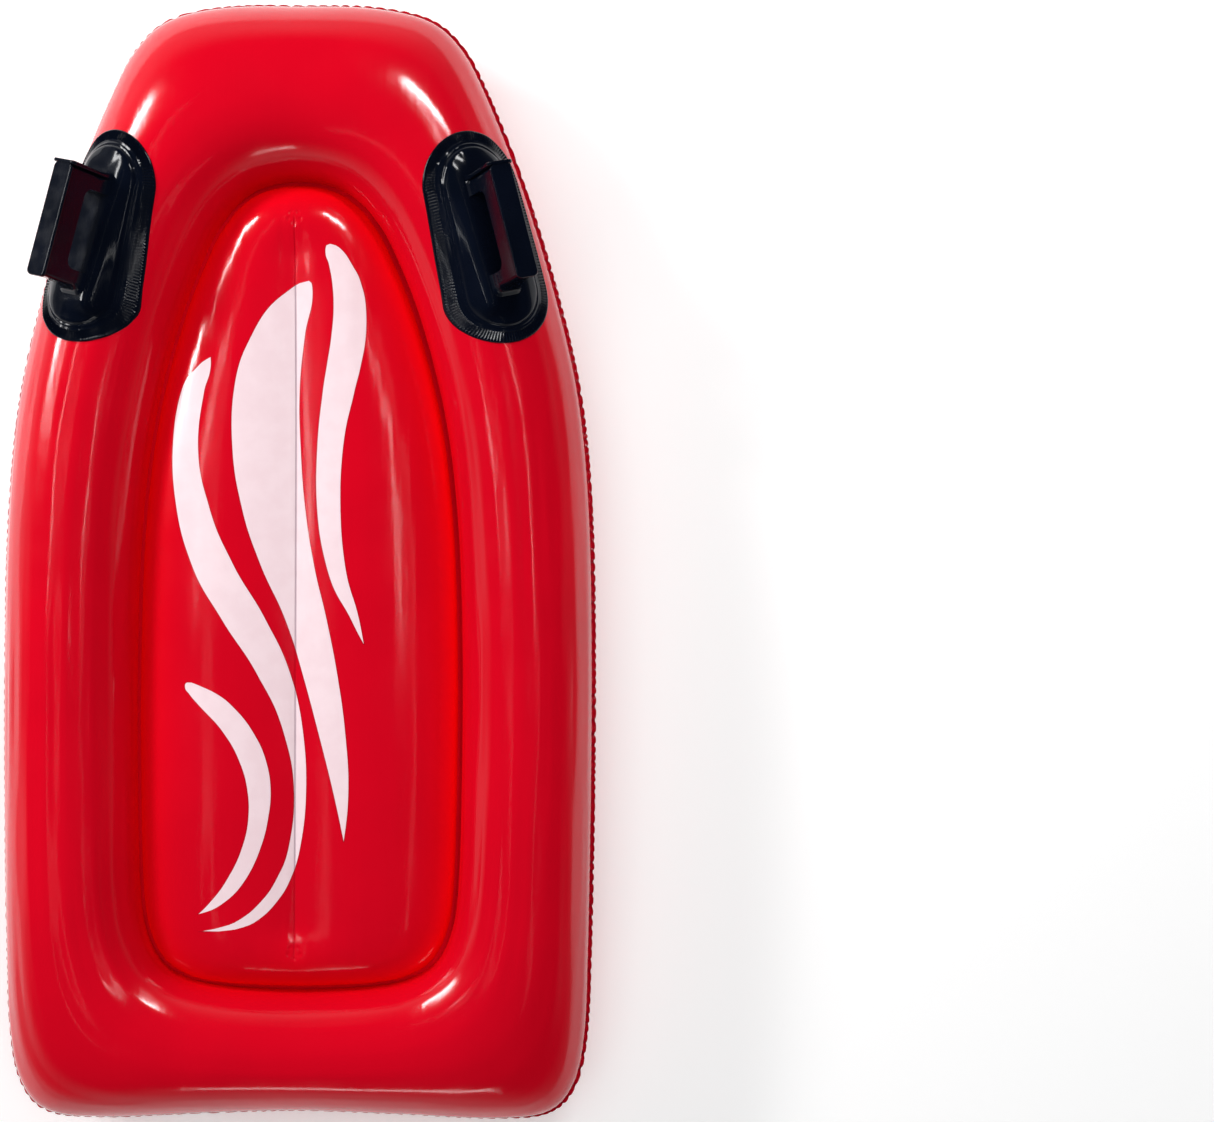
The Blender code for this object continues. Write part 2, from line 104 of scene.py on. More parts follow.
# Handles: placed and sized as in the CAD.
HANDLE_AT = (0.174, 0.284)
HANDLE_Z = 0.12206
HANDLE_TURN, HANDLE_TILT = 14.5, 27.0
PATCH_LENGTH, PATCH_WIDTH = 0.188, 0.092
GRIP_LENGTH, GRIP_WIDTH, GRIP_HEIGHT = 0.104, 0.024, 0.046
SEAT_HEIGHT = 0.0044  # of the grip's seat above the handle's origin
CLEARANCE = 0.0001  # from the film to the handle's base or the valve's disc on it

# Valves: sizes as in the CAD, along each valve's own axis out of the board.
DISC_R, VALVE_WALL, HOLE_R = 0.020, 0.0010, 0.0165
MOUTH_R, FUNNEL_WALL = 0.0140, 0.0012
THROAT_R, THROAT_DEPTH, THROAT_LENGTH = 0.0062, 0.010, 0.003
STEM_R, BORE_R, STEM_LENGTH = 0.0058, 0.0039, 0.022
RIM_R, RIM_THICK, RIM_SUNK = 0.0072, 0.0016, 0.0030
PLUG_HEAD_THICK, PLUG_DEPTH, PLUG_TOP_R, PLUG_TIP_R = 0.0022, 0.0040, 0.0036, 0.0026
HINGE_REACH, HINGE_R, EAR_WIDTH, EAR_THICK = 0.0092, 0.0010, 0.0060, 0.0008
WELD_RIB_COUNT, WELD_RIB_DEPTH = 48, 0.0004  # fine ribs on the valve disc's welded border
FLATTENED = (0.001, 0.016)  # past the disc's edge, where the film turns from flat to free

# The handles' base: its fine ribs, and its section.
PATCH_RIBS, RIB_POINTS = 180, 6  # ribs round it, and points round it for each rib
RIB_DEPTH, RIB_SPAN = 0.0012, (0.0012, 0.0090)
# The patch's section from its edge inwards: (distance from the edge, height above the deck).
PATCH_PROFILE = (
    (0.0000, 0.0009), (0.0003, 0.0014), (0.0009, 0.0017), (0.0015, 0.0018), (0.0030, 0.0018),
    (0.0055, 0.0018), (0.0080, 0.0018), (0.0095, 0.0018), (0.0113, 0.0017), (0.0118, 0.0020),
    (0.0123, 0.0024), (0.0130, 0.0025), (0.0136, 0.0023), (0.0141, 0.0023), (0.0147, 0.0029),
    (0.0153, 0.0038), (0.0161, 0.0045), (0.0172, 0.0049), (0.0190, 0.0051), (0.0220, 0.0051),
    (0.0255, 0.0051), (0.0290, 0.0051), (0.0330, 0.0051), (0.0370, 0.0051), (0.0405, 0.0051),
    (0.0435, 0.0051),
)
PATCH_UNDERSIDE = (0.012, 0.026, 0.0435)  # the same distances on its plain underside

# The print: each stripe as (Y, left X, right X), a row every 25 or 50 mm and closer at its tips.
STRIPES = (
    (
        (0.181, -0.075, -0.075), (0.172, -0.088, -0.075), (0.150, -0.103, -0.081), (0.100, -0.110, -0.086),
        (0.050, -0.106, -0.076), (0.000, -0.092, -0.055), (-0.050, -0.064, -0.026), (-0.100, -0.032, -0.004),
        (-0.150, -0.010, 0.007), (-0.200, -0.001, 0.010), (-0.250, -0.005, 0.005), (-0.280, -0.016, -0.004),
        (-0.300, -0.030, -0.016), (-0.316, -0.050, -0.033), (-0.321, -0.063, -0.044),
        (-0.325, -0.080, -0.066),
    ),
    (
        (0.248, 0.012, 0.012), (0.242, -0.003, 0.015), (0.200, -0.038, 0.008), (0.150, -0.054, 0.003),
        (0.100, -0.055, 0.004), (0.050, -0.047, 0.008), (0.000, -0.031, 0.016), (-0.050, -0.009, 0.028),
        (-0.100, 0.007, 0.038), (-0.150, 0.021, 0.045), (-0.200, 0.034, 0.048), (-0.245, 0.044, 0.044),
    ),
    (
        (0.280, 0.031, 0.031), (0.275, 0.027, 0.041), (0.262, 0.030, 0.050), (0.245, 0.033, 0.058),
        (0.225, 0.034, 0.062), (0.200, 0.032, 0.062), (0.175, 0.028, 0.058), (0.150, 0.024, 0.052),
        (0.100, 0.019, 0.042), (0.050, 0.019, 0.040), (0.000, 0.027, 0.044), (-0.050, 0.050, 0.057),
        (-0.071, 0.061, 0.061),
    ),
    (
        (-0.106, -0.095, -0.091), (-0.109, -0.097, -0.083), (-0.116, -0.093, -0.068),
        (-0.125, -0.085, -0.056), (-0.150, -0.062, -0.036), (-0.175, -0.048, -0.025),
        (-0.200, -0.041, -0.021), (-0.225, -0.040, -0.023), (-0.250, -0.045, -0.029),
        (-0.280, -0.059, -0.043), (-0.300, -0.074, -0.062), (-0.310, -0.084, -0.084),
    ),
)

RED = (0.640, 0.0014, 0.0130)
PAINTED_GLOW_RED = (0.95, 0.0008, 0.0015)  # painted glow: a lighter red towards the creases stands in for light that has passed through the film and gathers there
LIP_AND_PUCKER_SHADE_RED = (0.16, 0.0010, 0.0080)  # two thicknesses of film, pressed together, and painted shade in the puckers' folds
PRINT_WHITE = (0.92, 0.73, 0.77)
PRINT_SHADOW = (0.89, 0.69, 0.73)  # the ink's thinner patches
PRINT_EDGE = (0.42, 0.002, 0.012)  # the film just outside the print
THREAD = (0.60, 0.56, 0.60)  # what the seam's line leaves of the colour below it
BLACK, BLACK_CLOUD = (0.0018, 0.0030, 0.0070), (0.0026, 0.0042, 0.0100)
MILKY, MILKY_CLOUD = (0.87, 0.895, 0.90), (0.83, 0.865, 0.88)

rng = np.random.default_rng(SEED)


# Helpers


def smoothstep(low, high, value):
    t = np.clip((value - low) / (high - low), 0.0, 1.0)
    return t * t * (3.0 - 2.0 * t)


def link_object(name, mesh):
    obj = bpy.data.objects.new(name, mesh)
    bpy.context.scene.collection.objects.link(obj)
    return obj


def mesh_object(name, points, faces, smooth_angle=40.0):
    mesh = bpy.data.meshes.new(name)
    mesh.from_pydata(points.tolist(), [], faces)
    mesh.validate()
    mesh.shade_smooth()
    mesh.set_sharp_from_angle(angle=math.radians(smooth_angle))
    return link_object(name, mesh)


def face_out(obj):
    """Turns the faces of a closed mesh outwards."""
    bm = bmesh.new()
    bm.from_mesh(obj.data)
    bmesh.ops.recalc_face_normals(bm, faces=bm.faces)
    if bm.calc_volume(signed=True) < 0:
        bmesh.ops.reverse_faces(bm, faces=bm.faces)
    bm.to_mesh(obj.data)
    bm.free()


def apply_modifiers(obj):
    depsgraph = bpy.context.evaluated_depsgraph_get()
    mesh = bpy.data.meshes.new_from_object(obj.evaluated_get(depsgraph))
    obj.modifiers.clear()
    obj.data = mesh


def cut(obj, cutter, operation="DIFFERENCE", solver="EXACT"):
    """Applies a Boolean and removes its operand."""
    boolean = obj.modifiers.new("cut", "BOOLEAN")
    boolean.operation = operation
    boolean.solver = solver
    boolean.object = cutter
    apply_modifiers(obj)
    bpy.data.objects.remove(cutter, do_unlink=True)


def finish_piece(piece, node, material, body="root"):
    """Gives a piece its material and body, and lets it stand for its CAD node."""
    piece.data.materials.clear()
    piece.data.materials.append(material)
    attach(piece, body)
    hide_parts(node)
    return piece


class Rings:
    """Closed rings of points joined into faces. A ring may have a whole multiple of the next one's points.

    shade holds a value for each point of the rings that were given one, which come first.
    """

    def __init__(self):
        self.points, self.faces, self.rings, self.shade = [], [], [], []
        self.count = 0

    def add(self, points, index=None, shade=None):
        """Adds a ring and joins it to the last one. index gives shared vertices instead of new ones."""
        if shade is not None:
            self.shade.append(np.zeros(len(points)) + shade)
        ring = np.arange(self.count, self.count + len(points)) if index is None else index
        if index is None:
            self.points.append(points)
            self.count += len(points)
        if self.rings:
            self.join(self.rings[-1], ring)
        self.rings.append(ring)

    def join(self, here, there):
        if min(len(here), len(there)) == 1:
            rim, tip = (here, int(there[0])) if len(there) == 1 else (there, int(here[0]))
            self.faces += [(a, b, tip) for a, b in zip(rim.tolist(), np.roll(rim, -1).tolist())]
            return
        if len(here) == len(there):
            quads = np.stack([here, np.roll(here, -1), np.roll(there, -1), there], axis=1)
            self.faces += [tuple(dict.fromkeys(quad)) for quad in quads.tolist()]
            return
        many, few, flip = (here, there, False) if len(here) > len(there) else (there, here, True)
        ratio = len(many) // len(few)
        for i, corner in enumerate(few.tolist()):
            following = int(few[(i + 1) % len(few)])
            middle = ratio // 2
            for k in range(ratio):
                a, b = int(many[i * ratio + k]), int(many[(i * ratio + k + 1) % len(many)])
                face = (a, b, corner if k < middle else following)
                self.faces.append(face[::-1] if flip else face)
            bridge = (int(many[i * ratio + middle]), following, corner)
            self.faces.append(bridge[::-1] if flip else bridge)

    def build(self, name, smooth_angle=40.0):
        faces = [face for face in self.faces if len(face) > 2]
        return mesh_object(name, np.concatenate(self.points), faces, smooth_angle)


# Materials


class Nodes:
    """A material's node tree, with short calls for the nodes used here."""

    def __init__(self, name, colour, roughness):
        self.material = bpy.data.materials.new(name)
        self.material.use_nodes = True
        self.tree = self.material.node_tree
        self.shader = self.tree.nodes["Principled BSDF"]
        self.shader.inputs["Base Color"].default_value = (*colour, 1.0)
        self.shader.inputs["Roughness"].default_value = roughness
        self.place = self.new("ShaderNodeTexCoord").outputs["Object"]

    def new(self, kind, inputs=(), **settings):
        node = self.tree.nodes.new(kind)
        for key, value in settings.items():
            setattr(node, key, value)
        for key, value in dict(inputs).items():
            self.put(node.inputs[key], value)
        return node

    def put(self, socket, value):
        if isinstance(value, bpy.types.NodeSocket):
            self.tree.links.new(value, socket)
        else:
            socket.default_value = value

    def set(self, name, value):
        self.put(self.shader.inputs[name], value)

    def math(self, operation, *values):
        node = self.new("ShaderNodeMath", operation=operation)
        for socket, value in zip(node.inputs, values):
            self.put(socket, value)
        return node.outputs[0]

    def noise(self, scale, detail=2.0, stretch=(1.0, 1.0, 1.0)):
        mapping = self.new("ShaderNodeMapping", {"Vector": self.place, "Scale": stretch})
        node = self.new(
            "ShaderNodeTexNoise", {"Vector": mapping.outputs[0], "Scale": scale, "Detail": detail}
        )
        return node.outputs["Fac"]

    def ramp(self, value, low, high, start, end):
        """value's range low..high as start..end, smoothly, held at both ends."""
        node = self.new(
            "ShaderNodeMapRange",
            {"Value": value, "From Min": low, "From Max": high, "To Min": start, "To Max": end},
            interpolation_type="SMOOTHSTEP",
        )
        return node.outputs[0]

    def mix(self, share, first, second, blend="MIX"):
        node = self.new("ShaderNodeMix", data_type="RGBA", blend_type=blend)
        self.put(node.inputs["Factor"], share)
        for socket, value in ((node.inputs[6], first), (node.inputs[7], second)):
            self.put(socket, value if isinstance(value, bpy.types.NodeSocket) else (*value, 1.0))
        return node.outputs[2]

    def bump(self, height, distance, normal=None):
        node = self.new("ShaderNodeBump", {"Height": height, "Distance": distance})
        if normal is not None:
            self.put(node.inputs["Normal"], normal)
        return node.outputs[0]

    def curve(self, value, points, low, high):
        """A curve through (value, result) points, whose results lie between low and high."""
        first, last = min(p[0] for p in points), max(p[0] for p in points)
        at = self.math("DIVIDE", self.math("SUBTRACT", value, first), last - first)
        node = self.new("ShaderNodeFloatCurve", {"Value": at})
        line = node.mapping.curves[0]
        ordered = sorted(((v - first) / (last - first), (r - low) / (high - low)) for v, r in points)
        while len(line.points) < len(ordered):
            line.points.new(0.5, 0.5)
        for spot, location in zip(line.points, ordered):
            spot.location = location
        node.mapping.update()
        return self.math("MULTIPLY_ADD", node.outputs[0], high - low, low)


def print_mask(nodes, x, y):
    """1 on the stripes and 0 off them, with edges 0.4 mm wide, and the same a little wider."""
    sharp, wide = 0.0, 0.0
    for rows in STRIPES:
        xs = [x_edge for row in rows for x_edge in row[1:]]
        low, high = min(xs) - 0.01, max(xs) + 0.01
        left, right = (nodes.curve(y, [(row[0], row[k]) for row in rows], low, high) for k in (1, 2))
        inside = nodes.math("MINIMUM", nodes.math("SUBTRACT", x, left), nodes.math("SUBTRACT", right, x))
        inside = nodes.math("MINIMUM", inside, nodes.math("SUBTRACT", rows[0][0], y))
        inside = nodes.math("MINIMUM", inside, nodes.math("SUBTRACT", y, rows[-1][0]))
        sharp = nodes.math("MAXIMUM", sharp, nodes.ramp(inside, -0.0002, 0.0002, 0.0, 1.0))
        wide = nodes.math("MAXIMUM", wide, nodes.ramp(inside, -0.0014, -0.0004, 0.0, 1.0))
    return sharp, wide


def weld_dot(nodes, x, y, centre_y):
    """The height of a round weld, dished, with a ring of small dents."""
    dy = nodes.math("SUBTRACT", y, centre_y)
    squares = [nodes.math("MULTIPLY", offset, offset) for offset in (x, dy)]
    reach = nodes.math("SQRT", nodes.math("ADD", *squares))
    dish = nodes.ramp(reach, 0.0045, 0.0085, -1.0, 0.0)
    angle = nodes.math("ARCTAN2", dy, x)
    dents = nodes.math("SINE", nodes.math("MULTIPLY", angle, 5.0))
    rising = nodes.ramp(reach, 0.0030, 0.0055, 0.0, 1.0)
    falling = nodes.ramp(reach, 0.0055, 0.0080, 1.0, 0.0)
    ring = nodes.math("MULTIPLY", rising, falling)
    return nodes.math("MULTIPLY_ADD", nodes.math("MULTIPLY", dents, ring), 0.5, dish)


def film_material(name, printed):
    """Glossy coloured PVC film, with fine ripples along the board and an orange-peel surface."""
    nodes = Nodes(name, RED, 0.13)
    split = nodes.new("ShaderNodeSeparateXYZ", {"Vector": nodes.place})
    x, y = split.outputs["X"], split.outputs["Y"]
    tone = nodes.ramp(nodes.noise(7.0, 3.0), 0.3, 0.7, 0.0, 1.0)
    colour = nodes.mix(tone, tuple(c * 0.95 for c in RED), tuple(min(1.0, c * 1.04) for c in RED))
    rough = nodes.ramp(nodes.noise(26.0, 4.0), 0.25, 0.75, 0.105, 0.165)
    height = nodes.noise(1.0, 3.0, stretch=(150.0, 5.0, 60.0))
    normal = nodes.bump(height, 0.00012)
    normal = nodes.bump(nodes.noise(900.0, 1.0), 0.00002, normal)
    attribute = nodes.new("ShaderNodeAttribute", attribute_name="weld", attribute_type="GEOMETRY")
    weld = attribute.outputs["Fac"]  # above 0 near the crease, where a painted glow is mixed in, and below 0 on the lip's double film and its puckers, where painted shade deepens it
    # painted glow: a lighter red towards the creases
    colour = nodes.mix(nodes.math("MAXIMUM", weld, 0.0), colour, PAINTED_GLOW_RED)
    # the lip's darker double film, with painted shade in its puckers
    colour = nodes.mix(nodes.math("MAXIMUM", nodes.math("MULTIPLY", weld, -1.0), 0.0), colour, LIP_AND_PUCKER_SHADE_RED)
    if printed:
        sharp, wide = print_mask(nodes, x, y)
        colour = nodes.mix(wide, colour, PRINT_EDGE)
        blotches = nodes.ramp(nodes.noise(60.0, 4.0), 0.3, 0.7, 0.0, 1.0)
        ink = nodes.mix(blotches, PRINT_WHITE, PRINT_SHADOW)
        colour = nodes.mix(sharp, colour, ink)
        off_seam = nodes.math("ABSOLUTE", x)
        seam = nodes.ramp(off_seam, 0.0003, 0.0011, 1.0, 0.0)
        seam = nodes.math("MULTIPLY", seam, nodes.ramp(y, SEAM_Y[0] + 0.01, SEAM_Y[0] + 0.02, 0.0, 1.0))
        seam = nodes.math("MULTIPLY", seam, nodes.ramp(y, SEAM_Y[1] - 0.01, SEAM_Y[1], 1.0, 0.0))
        thread = nodes.math("MULTIPLY", seam, nodes.math("MULTIPLY_ADD", sharp, 0.7, 0.3))
        colour = nodes.mix(thread, colour, THREAD, blend="MULTIPLY")
        rough = nodes.math("MULTIPLY_ADD", sharp, 0.10, rough)
        normal = nodes.bump(nodes.math("MULTIPLY", seam, -1.0), 0.0003, normal)
        for centre_y in (SEAM_Y[1] - 0.005, SEAM_Y[0] + 0.020):
            normal = nodes.bump(weld_dot(nodes, x, y, centre_y), 0.0005, normal)
    nodes.set("Base Color", colour)
    nodes.set("Roughness", rough)
    nodes.set("Normal", normal)
    return nodes.material


def vinyl_material(name):
    """Moulded black vinyl: a deep blue-black with a soft uneven gloss."""
    nodes = Nodes(name, BLACK, 0.14)
    cloud = nodes.ramp(nodes.noise(22.0, 4.0), 0.3, 0.75, 0.0, 1.0)
    nodes.set("Base Color", nodes.mix(cloud, BLACK, BLACK_CLOUD))
    nodes.set("Roughness", nodes.ramp(nodes.noise(60.0, 5.0), 0.3, 0.7, 0.08, 0.16))
    nodes.set("Specular IOR Level", 0.18)
    normal = nodes.bump(nodes.noise(28.0, 2.0), 0.00025)
    nodes.set("Normal", nodes.bump(nodes.noise(1100.0, 1.0), 0.000015, normal))
    return nodes.material


def valve_material(name):
    """Soft milky vinyl, a little see-through."""
    nodes = Nodes(name, MILKY, 0.22)
    cloud = nodes.ramp(nodes.noise(60.0, 2.0), 0.3, 0.7, 0.0, 1.0)
    nodes.set("Base Color", nodes.mix(cloud, MILKY, MILKY_CLOUD))
    nodes.set("Roughness", nodes.ramp(nodes.noise(120.0, 2.0), 0.3, 0.7, 0.18, 0.27))
    nodes.set("Transmission Weight", 0.40)
    nodes.set("Subsurface Weight", 0.30)
    nodes.set("Subsurface Scale", 0.003)
    nodes.set("Normal", nodes.bump(nodes.noise(1500.0, 1.0), 0.00002))
    return nodes.material


# The films


def closed_spline(points, t):
    """Points at each t on the Catmull-Rom curve through a closed list of points."""
    points = np.asarray(points)
    k = np.floor(t).astype(int)
    f = (t - k)[:, None]
    p0, p1, p2, p3 = (points[(k + i) % len(points)] for i in (-1, 0, 1, 2))
    cubic = 3.0 * p1 - p0 - 3.0 * p2 + p3
    return 0.5 * (2.0 * p1 + (p2 - p0) * f + (2.0 * p0 - 5.0 * p1 + 4.0 * p2 - p3) * f**2 + cubic * f**3)


def unit(vectors):
    return vectors / np.linalg.norm(vectors, axis=1, keepdims=True)


class Columns:
    """Lines across the board at even steps round it: the two welds, the ring's section and the pad's edge."""

    def __init__(self, count):
        left = [((-ox, oy), (-cx, cy)) for (ox, oy), (cx, cy) in STATIONS[-2:0:-1]]
        loop = list(STATIONS) + left
        outer = [pair[0] for pair in loop]
        crease = [pair[1] for pair in loop]
        fine = np.linspace(0.0, len(loop), 8 * len(loop) + 1)
        strides = [np.diff(closed_spline(line, fine), axis=0) for line in (outer, crease)]
        runs = [np.linalg.norm(stride, axis=1) for stride in strides]
        travelled = np.concatenate([[0.0], np.cumsum(0.65 * runs[0] + 0.35 * runs[1])])
        steps = np.arange(count) / count
        t = np.interp(steps * travelled[-1], travelled, fine)
        self.count = count
        self.turn = 2.0 * np.pi * steps
        self.length = runs[0].sum()
        self.outer, self.crease = closed_spline(outer, t), closed_spline(crease, t)
        self.across = unit(self.outer - self.crease)
        self.inner = self.crease + self.across * LAND / 2
        self.reach = np.linalg.norm(self.outer - self.inner, axis=1) / 2
        self.waves = [np.fft.fft(loop[:, 0] + 1j * loop[:, 1]) for loop in (self.outer, self.inner)]
        turns = np.abs(np.fft.fftfreq(count, 1.0 / count))
        self.decay = np.maximum(turns * 4.0 * np.pi * self.reach.mean() / travelled[-1], 1e-9)
        self.middle = self.plan(0.5)
        swell = smoothstep(*NOSE_SWELL_Y, self.middle[:, 1])
        self.level = 0.5 * (SIDE_HEIGHT + (NOSE_HEIGHT - SIDE_HEIGHT) * swell)
        self.half = self.level - GAP / 2 - FILM
        self.spine = np.stack([np.zeros(count), self.crease[:, 1] * SPINE_SHARE], axis=1)
        self.pad_edge = self.crease + unit(self.spine - self.crease) * LAND / 2

    def plan(self, share):
        """Points between the welds, from 0 at the outer one to 1 at the inner one.

        They solve Laplace's equation between the two loops, so the ring's crest runs smoothly
        round a corner of the outline, as on an inflated tube.
        """
        spread = 1.0 - np.exp(-2.0 * self.decay)
        near, far = (np.exp(-self.decay * v) - np.exp(-self.decay * (2.0 - v)) for v in (share, 1.0 - share))
        curve = np.fft.ifft((self.waves[0] * near + self.waves[1] * far) / spread)
        return np.stack([curve.real, curve.imag], axis=1)


class Ripples:
    """Long shallow ripples: waves across a line that drift and fade slowly along it."""

    def __init__(self, count, depth, slow):
        self.length = rng.uniform(*RIPPLE_LENGTHS, count)
        self.phase = rng.uniform(0.0, 2.0 * np.pi, (3, count))
        self.slow = rng.integers(1, slow + 1, (2, count))
        self.drift = rng.uniform(0.3, 1.4, count)
        share = rng.uniform(0.4, 1.0, count) * (self.length / self.length.mean())
        self.depth = depth * share / math.sqrt(count / 2)

    def at(self, across, turn):
        """The height at a distance across the ripples, and a turn (0 to 2 pi) along them."""
        total = 0.0
        for k, length in enumerate(self.length):
            bend = self.drift[k] * np.sin(self.slow[0, k] * turn + self.phase[1, k])
            fade = 0.5 + 0.5 * np.sin(self.slow[1, k] * turn + self.phase[2, k])
            wave = np.sin(2.0 * np.pi * across / length + self.phase[0, k] + bend)
            total = total + self.depth[k] * fade * wave
        return total


ring_ripples = Ripples(26, RING_RIPPLE, 13)
pad_ripples = Ripples(22, PAD_RIPPLE, 7)
pucker_jitter = rng.uniform(0.0, 2.0 * np.pi, 6)


def pucker(columns):
    """How deep the outer weld is gathered at each column: 0 between puckers, up to 1 in them."""
    count = round(columns.length / PUCKER_PITCH)
    phase = count * columns.turn
    for k, offset in enumerate(pucker_jitter[:4]):
        phase = phase + 1.5 * np.sin((7 + 9 * k) * columns.turn + offset)
    slow, fast = (np.sin(n * columns.turn + pucker_jitter[k]) for n, k in ((23, 4), (41, 5)))
    strength = 0.65 + 0.35 * slow * fast
    return strength * (0.5 + 0.5 * np.cos(phase)) ** 3


def lip_wave(columns):
    """The lip's up and down wave, the same for both films."""
    count = round(columns.length / PUCKER_PITCH)
    return LIP_WAVE * np.sin(count * columns.turn + 1.5 * np.sin(7 * columns.turn + pucker_jitter[0]))


def stack(flat, z):
    return np.column_stack([flat, z])


def lip_ring(columns, side, reach, lift):
    """A ring of points on the lip, reach metres out from the weld and lift above the weld plane."""
    share = reach / LIP
    gathered = pucker(columns)[:, None]
    flat = columns.outer + columns.across * (reach - PUCKER_INWARD * share * gathered)
    return stack(flat, columns.level + side * lift + lip_wave(columns) * share)


def ring_ring(columns, side, turn, inset=0.0):
    """A ring of points at an angle round the ring tube, from 0 at the outer weld to pi at the inner."""
    half = columns.half - inset
    margin = inset / (2.0 * columns.reach.mean())
    share = margin + (1.0 - 2.0 * margin) * (1.0 - math.cos(turn)) / 2.0
    weld = GAP / 2 + FILM
    push = np.zeros(columns.count)
    if inset == 0.0:
        near_outer = np.exp(-columns.reach * turn / PUCKER_REACH) * smoothstep(0.0, 0.05, turn)
        near_inner = np.exp(-columns.reach * (math.pi - turn) / 0.006)
        push -= PUCKER_DEPTH * pucker(columns) * near_outer
        window = smoothstep(0.1, 0.5, turn) * smoothstep(0.0, 0.35, math.pi - turn)
        taut = smoothstep(0.30, 0.40, columns.middle[:, 1]) + smoothstep(0.40, 0.45, -columns.middle[:, 1])
        window = window * (1.0 - 0.8 * taut)
        along = columns.turn + (0.0 if side > 0 else 1.0)
        push += window * ring_ripples.at(columns.reach.mean() * turn, along)
        push -= 0.0002 * pucker(columns) * near_inner * smoothstep(0.0, 0.1, math.pi - turn)
    out, up = math.cos(turn), math.sin(turn)
    outward = unit(columns.plan(max(0.0, share - 0.02)) - columns.plan(min(1.0, share + 0.02)))
    normal = unit(np.stack([out / columns.reach, up / half], axis=1))
    flat = columns.plan(share) + outward * (normal[:, 0] * push)[:, None]
    return stack(flat, columns.level + side * (weld + half * up + normal[:, 1] * push))


def pad_ring(columns, side, share, inset=0.0):
    """A ring of points on the pad, from 0 at its weld to 1 at its spine."""
    flat = columns.pad_edge + (columns.spine - columns.pad_edge) * share
    x, y = flat[:, 0], flat[:, 1]
    rise = 1.0
    if share < CREST_SHARE:
        rise = math.sqrt(max(0.0, 1.0 - (1.0 - share / CREST_SHARE) ** 2))
    near = np.clip(1.0 - np.abs(x) / SEAM_HALF_WIDTH, 0.0, 1.0) ** 2
    along = smoothstep(SEAM_Y[0], SEAM_Y[0] + SEAM_FADE, y)
    along = along * (1.0 - smoothstep(SEAM_Y[1] - SEAM_FADE, SEAM_Y[1], y))
    height = PAD_CREST * rise - SEAM_DEPTH * near * along
    if inset == 0.0:
        height = height + smoothstep(0.0, 0.25, share) * pad_ripples.at(x + 0.3, 2.0 * np.pi * (y + 0.5))
    weld = WELD_RISE if inset else GAP / 2 + FILM
    return stack(flat, columns.level + side * np.maximum(weld + height - inset, WELD_RISE))


def film_rings(side):
    """A film as a closed thin shell of rings, from the lip's edge over the board and back inside it.

    Returns the rings, and how many of their points are on the outer face.
    """
    dense, main, inner = Columns(LIP_COLUMNS), Columns(COLUMNS), Columns(INNER_COLUMNS)
    weld = GAP / 2 + FILM
    rings = Rings()
    gathered = pucker(dense)
    # the lip's double film, darker still where painted shade fills the puckers
    rings.add(lip_ring(dense, side, LIP, WELD_RISE), shade=-1.0)
    for k in range(LIP_ROWS):
        lip = lip_ring(dense, side, LIP * (1.0 - k / LIP_ROWS), weld)
        rings.add(lip, shade=-0.45 - 0.55 * gathered)
    for k in range(RING_ROWS + 1):
        share = k / RING_ROWS
        turn = math.pi * (share - 0.10 * math.sin(2.0 * math.pi * share) / math.pi)
        columns = dense if turn < DENSE_TURN else main
        run = columns.reach.mean() * turn
        # painted glow, fading with the distance from the crease
        shade = math.exp(-(math.pi * columns.reach.mean() - run) / CREASE_GLOW)
        if columns is dense:
            # painted shade in the puckers beside the outer weld
            shade = shade - 0.75 * gathered * math.exp(-((run / 0.0035) ** 2))
        rings.add(ring_ring(columns, side, turn), shade=shade)
    shares = [1.0 - math.cos(0.5 * math.pi * k / PAD_ROWS) for k in range(PAD_ROWS)]
    shares += [0.975, 0.985, 0.992, 0.996]
    pad_reach = np.linalg.norm(main.spine - main.pad_edge, axis=1)
    for share in sorted(shares):
        # painted glow, fading with the distance from the pad's weld
        rings.add(pad_ring(main, side, share), shade=np.exp(-share * pad_reach / CREASE_GLOW))
    rings.add(*spine_ring(rings, main, side, 0.0))
    outer_count = rings.count
    rings.rings = [rings.rings[0]]  # the inner face starts again from the lip's edge
    rings.add(lip_ring(inner, side, -INNER_INSET, WELD_RISE))
    for k in range(1, INNER_RING_ROWS):
        rings.add(ring_ring(inner, side, math.pi * k / INNER_RING_ROWS, INNER_INSET))
    rings.add(stack(inner.inner + inner.across * INNER_INSET, inner.level + side * WELD_RISE))
    for share in INNER_PAD_SHARES:
        rings.add(pad_ring(inner, side, share, INNER_INSET))
    rings.add(*spine_ring(rings, inner, side, INNER_INSET))
    return rings, outer_count


def spine_ring(rings, columns, side, inset):
    """The last ring, on the spine, whose left half shares the right half's points."""
    points = pad_ring(columns, side, 1.0, inset)
    half = columns.count // 2
    start = rings.count
    rings.points.append(points[: half + 1])
    rings.count += half + 1
    order = np.arange(columns.count)
    return points, start + np.where(order <= half, order, columns.count - order)


def flatten_at(points, outer_count, place):
    """Moves a film's points onto the plane of a valve's disc, fading out round it."""
    inverse = np.array(place.inverted())
    local = points @ inverse[:3, :3].T + inverse[:3, 3]
    reach = np.hypot(local[:, 0], local[:, 1])
    inside = np.arange(len(points)) >= outer_count
    surface = local[:, 2] + np.where(inside, INNER_INSET, 0.0)
    weight = 1.0 - smoothstep(DISC_R + FLATTENED[0], DISC_R + FLATTENED[1], reach)
    weight = np.where(np.abs(local[:, 2]) < 0.03, weight, 0.0)  # only the film by the disc
    move = (-VALVE_WALL - CLEARANCE - surface) * weight
    return points + move[:, None] * np.array(place.col[2].to_3d())


